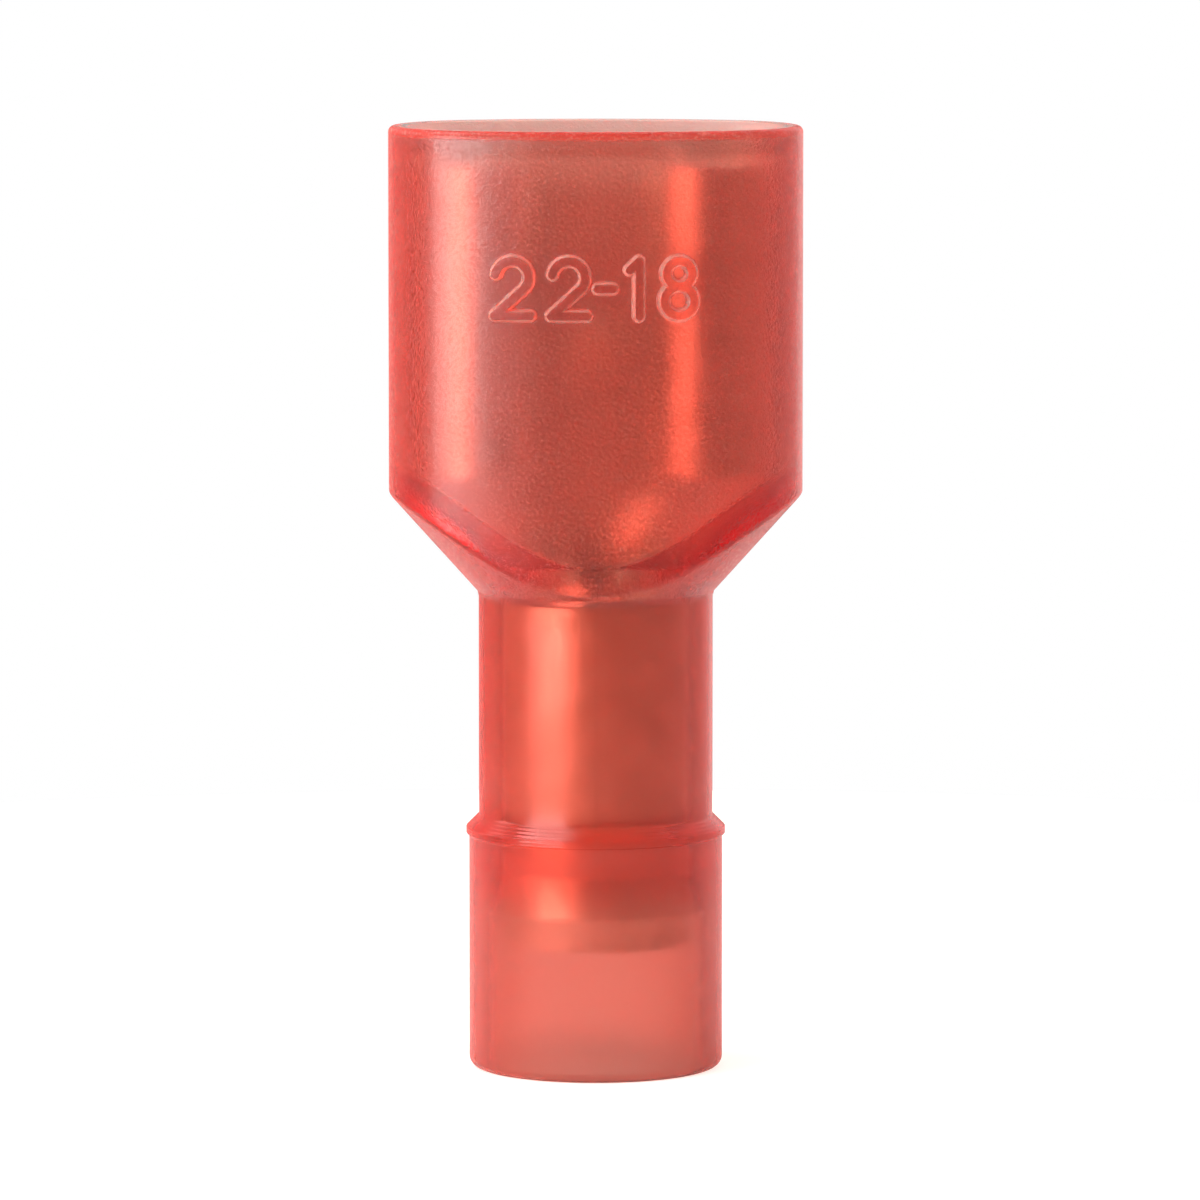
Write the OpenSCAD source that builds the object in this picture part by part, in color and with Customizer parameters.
// Fully insulated female spade terminal.
// The wire axis is Z. The wire end face is at z = 0 and the mouth for the tab faces +Z.
// The curls of the receptacle and both butt seams face -Y.

/* [Tab] */
// Width of the male tab
tab_w = 6.35; // [6:0.05:6.8]
// Thickness of the male tab
tab_t = 0.8; // [0.7:0.05:0.9]
// Play between the tab's edges and the receptacle's side walls
tab_side_fit = 0.275; // [0.15:0.025:0.4]
// How much the slot is narrower than the tab, so that the curls grip it
tab_grip = 0.08; // [0.02:0.01:0.15]

/* [Strip] */
// Thickness of the brass strip
stock = 0.45; // [0.35:0.05:0.5]
// Inside radius of the bends along the receptacle base
bend_r = 0.35; // [0.25:0.05:0.5]

/* [Receptacle] */
// Length of the receptacle
receptacle_len = 7.2; // [6.4:0.1:9]
// Outside radius of the rolled curls
curl_r = 1.33; // [1.1:0.01:1.4]
// Straight tip of each curl, pointing at the base
curl_tip = 0.1; // [0.05:0.05:0.3]
// Chamfer that leads the tab in
tab_lead = 0.25; // [0.1:0.05:0.4]
// How far the receptacle base stands in from the back of the wire barrel
base_step = 0.15; // [0.1:0.05:0.3]
// Height of the locking dimple
dimple_h = 0.25; // [0.15:0.05:0.35]
// Ball radius of the locking dimple
dimple_ball = 1.4; // [1.2:0.1:1.6]
// Height of the dimple's centre above the lower end of the receptacle
dimple_up = 3.0; // [2.5:0.1:4]

/* [Wire barrel] */
// Bore of the wire barrel
barrel_bore = 2.1; // [1.8:0.05:2.4]
// Length of the wire barrel
barrel_len = 5.9; // [5:0.1:6.5]
// Gap of the butt seams in the barrel and the sleeve
seam_gap = 0.08; // [0.04:0.01:0.15]
// Number of serration grooves in the bore
serrations = 3; // [1:1:4]
// Width of a serration groove
serration_w = 0.22; // [0.1:0.02:0.3]
// Depth of a serration groove
serration_depth = 0.1; // [0.05:0.01:0.15]
// Length of the trough between barrel and receptacle
trough_len = 2.5; // [2.2:0.1:3.5]
// Half of the strip's width at the narrowest place of the trough
trough_half = 1.65; // [1.5:0.05:2]
// How much wider the strip is, on each side, where it runs into the receptacle
trough_flare = 0.2; // [0:0.05:0.4]

/* [Crimp sleeve] */
// Wall of the sleeve
sleeve_wall = 0.6; // [0.4:0.05:0.8]
// Gap between the barrel and the sleeve, on each side
sleeve_fit = 0.025; // [0.01:0.005:0.05]
// How far the sleeve stops short of the top of the wire barrel
sleeve_short = 0.35; // [0.2:0.05:0.8]
// How far the sleeve stands into the wire entry
sleeve_proud = 0.8; // [0.2:0.1:1.5]

/* [Housing] */
// Wall of the oval bell
bell_wall = 0.65; // [0.5:0.05:0.8]
// Wall of the cone shoulder, square to its face
shoulder_wall = 0.9; // [0.7:0.05:1]
// Wall of the neck
neck_wall = 0.55; // [0.4:0.05:0.8]
// Wall of the wire entry
entry_wall = 0.48; // [0.4:0.02:0.8]
// Radius of the bell's rounded ends
bell_end_r = 2.5; // [2.4:0.05:2.7]
// Half angle of the cone shoulder
shoulder_angle = 42; // [35:1:48]
// Radius of the edge between the shoulder and the bell's ends
shoulder_edge_r = 0.5; // [0.2:0.1:0.8]
// Length of the neck
neck_len = 5.2; // [4.5:0.1:6.5]
// Length of the wire-entry part, up to the top of its bead
entry_len = 5.95; // [5.5:0.05:7.5]
// Depth of the wide bore for the wire
entry_depth = 3.75; // [3:0.05:4.2]
// Length of the funnel from the wide bore to the neck bore
funnel_len = 0.95; // [0.6:0.05:1.2]
// How much wider the wide bore is than the neck bore, on each side
funnel_step = 0.3; // [0.2:0.05:0.5]
// How far the bead stands out of the wire-entry part
bead_proud = 0.07; // [0.04:0.01:0.2]
// Radius of the bead's crown
bead_r = 0.16; // [0.1:0.01:0.25]
// Depth of the mouth above the receptacle
mouth_depth = 0.91; // [0.5:0.05:2]
// Size of the chamfer round the mouth and round the bore at the wire end
mouth_chamfer = 0.15; // [0.1:0.01:0.25]
// How much the bell's wall thins inside the mouth, to lead the tab in
mouth_lead = 0.27; // [0.2:0.01:0.35]
// Height of the lead-in inside the mouth
mouth_lead_len = 0.6; // [0.3:0.05:0.7]
// Radius of the edge at the wire end
end_edge_r = 0.25; // [0.1:0.05:0.35]

/* [Fits] */
// Play between the sleeve and the neck bore, on each side
neck_fit = 0.05; // [0.02:0.01:0.1]
// Play between the receptacle's sides and the bell, on each side
bell_fit = 0.26; // [0.2:0.01:0.4]
// Play between the receptacle's lower corners and the cone they seat on
seat_fit = 0.03; // [0.02:0.01:0.1]
// How much deeper the bell's cavity is than the neck bore, on each side
pass_fit = 0.035; // [0.02:0.005:0.2]

/* [Hidden] */
$fn = 96;
// Reach of a cutting shape past the face that it cuts
eps = 0.5;
// Reach of the inner cone past the end of the neck bore
cone_overlap = 0.1;
// Distance of the shoulder's outline past the tips of the oval
shoulder_clear = 0.02;
// Length of the shoulder's outline below the neck's top, and of the neck above it
shoulder_root = 1;
neck_root = 0.05;
// Size of the chamfer that leads the wire into the barrel and the sleeve
entry_lead = 0.15;

// Barrel, sleeve and bores, all round the wire axis
barrel_bore_r = barrel_bore / 2;
barrel_r = barrel_bore_r + stock;
sleeve_bore_r = barrel_r + sleeve_fit;
sleeve_r = sleeve_bore_r + sleeve_wall;
neck_bore_r = sleeve_r + neck_fit;
neck_r = neck_bore_r + neck_wall;
entry_bore_r = neck_bore_r + funnel_step;
entry_r = entry_bore_r + entry_wall;
bead_max_r = entry_r + bead_proud;

// Section of the receptacle
slot_gap = tab_t - tab_grip;
receptacle_w = tab_w + 2 * (tab_side_fit + stock);
receptacle_h = stock + slot_gap + curl_tip + curl_r;
base_back = barrel_r - base_step;
base_front = base_back - stock;
bend_out = bend_r + stock;
bend_x = receptacle_w / 2 - bend_out;
bend_y = base_back - bend_out;
curl_x = receptacle_w / 2 - curl_r;
curl_y = base_back - receptacle_h + curl_r;

// Oval section of the bell: two end arcs and two face arcs that meet them tangentially
bell_half_w = receptacle_w / 2 + bell_fit + bell_wall;
bell_half_d = neck_bore_r + pass_fit + bell_wall;
end_x = bell_half_w - bell_end_r;
face_r = (end_x * end_x + bell_half_d * bell_half_d - bell_end_r * bell_end_r)
    / (2 * (bell_half_d - bell_end_r));
face_y = face_r - bell_half_d;
// Sine of the angle at which the arcs meet, seen from a face arc's centre
tangent_sin = end_x / norm([end_x, face_y]);

// Heights
slope = tan(shoulder_angle);
neck_top = entry_len + neck_len;
shoulder_top = neck_top + (bell_half_w - neck_r) / slope;
inner_cone_z = neck_top - (neck_r - neck_bore_r) / slope + shoulder_wall / sin(shoulder_angle);
corner_r = max(norm([bend_x, bend_y]) + bend_out, norm([curl_x, curl_y]) + curl_r);
receptacle_z = inner_cone_z + (corner_r + seat_fit - neck_bore_r) / slope;
receptacle_top = receptacle_z + receptacle_len;
bell_top = receptacle_top + mouth_depth;
barrel_top = receptacle_z - trough_len;
barrel_z = barrel_top - barrel_len;
sleeve_top = barrel_top - sleeve_short;
sleeve_z = entry_depth - sleeve_proud;

// Rings and columns of the trough's surface
trough_rings = 14;
trough_cols = 20;
// The trough is this much thinner than the strip, on each side, to run into the barrel's wall
trough_skin = 0.02;
// Length of the trough inside the barrel's wall and inside the receptacle base
trough_root = 0.3;
// Share of the barrel's round that the trough grows out of
trough_wrap = 0.92;
// Share of the trough's length over which the barrel opens
trough_opening = 0.5;

// Solid with the bell's oval section. Its outline is drawn in by inset_low at the bottom and by
// inset_high at the top, so unequal insets make a chamfer.
module oval_solid(inset_low, inset_high, h) {
    low = (face_r - inset_low) * tangent_sin;
    high = (face_r - inset_high) * tangent_sin;
    for (side = [-1, 1])
        translate([side * end_x, 0, 0])
            cylinder(r1 = bell_end_r - inset_low, r2 = bell_end_r - inset_high, h = h);
    intersection() {
        translate([0, -face_y, 0])
            cylinder(r1 = face_r - inset_low, r2 = face_r - inset_high, h = h);
        translate([0, face_y, 0])
            cylinder(r1 = face_r - inset_low, r2 = face_r - inset_high, h = h);
        translate([0, bell_half_w, 0])
            rotate([90, 0, 0])
                linear_extrude(2 * bell_half_w)
                    polygon([[-low, 0], [low, 0], [high, h], [-high, h]]);
    }
}

// Outline of the cone shoulder with its rounded edge, for a revolve
module shoulder_outline() {
    outer = bell_half_w + shoulder_clear;
    outer_z = neck_top + (outer - neck_r) / slope;
    tangent = shoulder_edge_r * tan(shoulder_angle / 2);
    edge = [outer - shoulder_edge_r, outer_z + tangent];
    polygon([
        [0, neck_top - shoulder_root],
        [neck_r, neck_top - shoulder_root],
        [neck_r, neck_top],
        [outer - tangent * sin(shoulder_angle), outer_z - tangent * cos(shoulder_angle)],
        edge,
        [outer, edge[1]],
        [outer, bell_top + eps],
        [0, bell_top + eps]
    ]);
    translate(edge)
        circle(r = shoulder_edge_r);
}

// The oval bell, cut to the cone shoulder that runs down to the neck
module bell_body() {
    intersection() {
        union() {
            translate([0, 0, neck_top])
                oval_solid(0, 0, bell_top - mouth_chamfer - neck_top);
            translate([0, 0, bell_top - mouth_chamfer])
                oval_solid(0, mouth_chamfer, mouth_chamfer);
        }
        rotate_extrude()
            shoulder_outline();
    }
}

// Neck, bead and wire entry, as one revolved outline
module neck_body() {
    bead_x = bead_max_r - bead_r;
    bead_z = neck_r + entry_len - bead_x - bead_r * sqrt(2);
    rotate_extrude() {
        square([neck_r, neck_top + neck_root]);
        translate([0, end_edge_r])
            square([entry_r, bead_z - end_edge_r]);
        square([entry_r - end_edge_r, bead_z]);
        translate([entry_r - end_edge_r, end_edge_r])
            circle(r = end_edge_r);
        translate([bead_x, bead_z])
            circle(r = bead_r);
        polygon([
            [0, bead_z],
            [bead_x, bead_z],
            [bead_x + bead_r / sqrt(2), bead_z + bead_r / sqrt(2)],
            [neck_r, entry_len],
            [0, entry_len]
        ]);
    }
}

// Passage from the wire end to the bell: entry chamfer, wide bore, funnel and neck bore
module wire_passage() {
    rotate_extrude()
        polygon([
            [0, -eps],
            [entry_bore_r + mouth_chamfer + eps, -eps],
            [entry_bore_r, mouth_chamfer],
            [entry_bore_r, entry_depth],
            [neck_bore_r, entry_depth + funnel_len],
            [neck_bore_r, inner_cone_z + cone_overlap],
            [0, inner_cone_z + cone_overlap]
        ]);
}

// Space inside the bell, down to the inner cone that the receptacle's corners seat on
module bell_cavity() {
    intersection() {
        translate([0, 0, inner_cone_z - cone_overlap])
            oval_solid(bell_wall, bell_wall, bell_top + eps - inner_cone_z + cone_overlap);
        translate([0, 0, inner_cone_z - cone_overlap])
            cylinder(
                r1 = neck_bore_r - cone_overlap * slope,
                r2 = neck_bore_r + (bell_top + eps - inner_cone_z) * slope,
                h = bell_top + eps - inner_cone_z + cone_overlap
            );
    }
    translate([0, 0, bell_top - mouth_lead_len])
        oval_solid(bell_wall, bell_wall - 2 * mouth_lead, 2 * mouth_lead_len);
}

module insulator_housing() {
    color([0.86, 0.26, 0.22, 0.55])
        difference() {
            union() {
                bell_body();
                neck_body();
            }
            wire_passage();
            bell_cavity();
        }
}

// Quarter of a ring between two radii, in the quadrant given by the signs of dir
module ring_quarter(outer, inner, dir) {
    intersection() {
        difference() {
            circle(r = outer);
            circle(r = inner);
        }
        translate([dir[0] > 0 ? 0 : -outer, dir[1] > 0 ? 0 : -outer])
            square(outer);
    }
}

// Section of the receptacle: flat base at the back, bends, side walls and curls
module receptacle_section() {
    translate([-bend_x, base_front])
        square([2 * bend_x, stock]);
    for (side = [0, 1])
        mirror([side, 0]) {
            translate([bend_x, bend_y])
                ring_quarter(bend_out, bend_r, [1, 1]);
            translate([receptacle_w / 2 - stock, curl_y])
                square([stock, bend_y - curl_y]);
            translate([curl_x, curl_y]) {
                ring_quarter(curl_r, curl_r - stock, [1, -1]);
                ring_quarter(curl_r, curl_r - stock, [-1, -1]);
            }
            translate([curl_x - curl_r, curl_y])
                square([stock, curl_tip]);
        }
}

// Wedge that opens the slot for the tab at the top of the receptacle
module tab_wedge() {
    translate([-bend_x, 0, 0])
        rotate([90, 0, 90])
            linear_extrude(2 * bend_x)
                polygon([
                    [base_front - slot_gap, receptacle_top - tab_lead],
                    [base_front, receptacle_top - tab_lead],
                    [base_front + tab_lead + eps, receptacle_top + eps],
                    [base_front - slot_gap - tab_lead - eps, receptacle_top + eps]
                ]);
}

// Receptacle with its locking dimple pressed in from the back of the base
module receptacle() {
    dimple_at = [0, base_front + dimple_ball - dimple_h, receptacle_z + dimple_up];
    difference() {
        union() {
            translate([0, 0, receptacle_z])
                linear_extrude(receptacle_len)
                    receptacle_section();
            intersection() {
                translate(dimple_at)
                    sphere(r = dimple_ball);
                translate([-bend_x, base_front - dimple_h - eps, receptacle_z])
                    cube([2 * bend_x, dimple_h + eps + stock / 2, receptacle_len]);
            }
        }
        translate(dimple_at)
            sphere(r = dimple_ball - stock);
        tab_wedge();
    }
}

// Smooth step from 0 to 1
function ease(t) = t <= 0 ? 0 : t >= 1 ? 1 : t * t * (3 - 2 * t);

// How far along the trough a height is: 0 at the barrel, 1 at the receptacle
function trough_at(z) = min(1, max(0, (z - barrel_top) / trough_len));

// Curvature of the strip's section there, from the barrel's round to the flat base
function trough_bend(t) = (1 - ease(t)) / (barrel_r - stock / 2);

// Half of the strip's developed width there
function trough_half_at(t) = t < trough_opening
    ? trough_half + (PI * (barrel_r - stock / 2) * trough_wrap - trough_half) * (1 - ease(t / trough_opening))
    : trough_half + trough_flare * ease((t - trough_opening) / (1 - trough_opening));

// Point of the section at height z. u runs from -1 to 1 across the strip, and lift is the distance
// from the strip's middle surface towards the back.
function trough_point(z, u, lift) =
    let (
        t = trough_at(z),
        bend = trough_bend(t),
        arc = u * trough_half_at(t),
        turn = arc * bend * 180 / PI,
        back = barrel_r - stock / 2 - base_step * ease(t),
        x = bend < 0.001 ? arc : sin(turn) / bend,
        y = bend < 0.001 ? 0 : (1 - cos(turn)) / bend
    )
    [x + lift * sin(turn), back - y + lift * cos(turn), z];

// Strip between the rolled barrel and the flat receptacle base, as one swept sheet
module trough() {
    half_t = stock / 2 - trough_skin;
    row = 2 * (trough_cols + 1);
    z_low = barrel_top - trough_root;
    z_step = (trough_len + 2 * trough_root) / trough_rings;
    points = [
        for (i = [0:trough_rings])
            for (k = [0:row - 1])
                let (
                    back = k <= trough_cols,
                    u = -1 + 2 * (back ? k : row - 1 - k) / trough_cols
                )
                trough_point(z_low + i * z_step, u, back ? half_t : -half_t)
    ];
    sides = [
        for (i = [0:trough_rings - 1])
            for (k = [0:row - 1])
                for (half = [0, 1])
                    let (
                        a = i * row + k,
                        b = i * row + (k + 1) % row
                    )
                    half == 0 ? [a, b, a + row] : [b, b + row, a + row]
    ];
    caps = [
        for (end = [0, 1])
            for (k = [0:trough_cols - 1])
                let (
                    o = end * trough_rings * row,
                    quad = [o + k, o + k + 1, o + row - 2 - k, o + row - 1 - k]
                )
                end == 1 ? quad : [quad[3], quad[2], quad[1], quad[0]]
    ];
    polyhedron(points, concat(sides, caps));
}

// Rolled wire barrel with its butt seam at the front and serration grooves in the bore
module wire_barrel() {
    pitch = barrel_len / (serrations + 1);
    translate([0, 0, barrel_z])
        difference() {
            cylinder(r = barrel_r, h = barrel_len);
            translate([0, 0, -eps])
                cylinder(r = barrel_bore_r, h = barrel_len + 2 * eps);
            translate([0, 0, -entry_lead])
                cylinder(r1 = barrel_bore_r + 2 * entry_lead, r2 = barrel_bore_r, h = 2 * entry_lead);
            for (i = [1:serrations])
                translate([0, 0, i * pitch - serration_w / 2])
                    cylinder(r = barrel_bore_r + serration_depth, h = serration_w);
            seam_cut(barrel_len, barrel_r);
        }
}

// Slit of a butt seam on the -Y side of a rolled tube
module seam_cut(h, r) {
    translate([-seam_gap / 2, -r - eps, -eps])
        cube([seam_gap, r + eps, h + 2 * eps]);
}

module terminal() {
    color([0.80, 0.78, 0.74])
        union() {
            receptacle();
            trough();
            wire_barrel();
        }
}

module crimp_sleeve() {
    h = sleeve_top - sleeve_z;
    color([0.72, 0.70, 0.66])
        translate([0, 0, sleeve_z])
            difference() {
                cylinder(r = sleeve_r, h = h);
                translate([0, 0, -eps])
                    cylinder(r = sleeve_bore_r, h = h + 2 * eps);
                translate([0, 0, -entry_lead])
                    cylinder(r1 = sleeve_bore_r + 2 * entry_lead, r2 = sleeve_bore_r, h = 2 * entry_lead);
                seam_cut(h, sleeve_r);
            }
}

insulator_housing();
terminal();
crimp_sleeve();
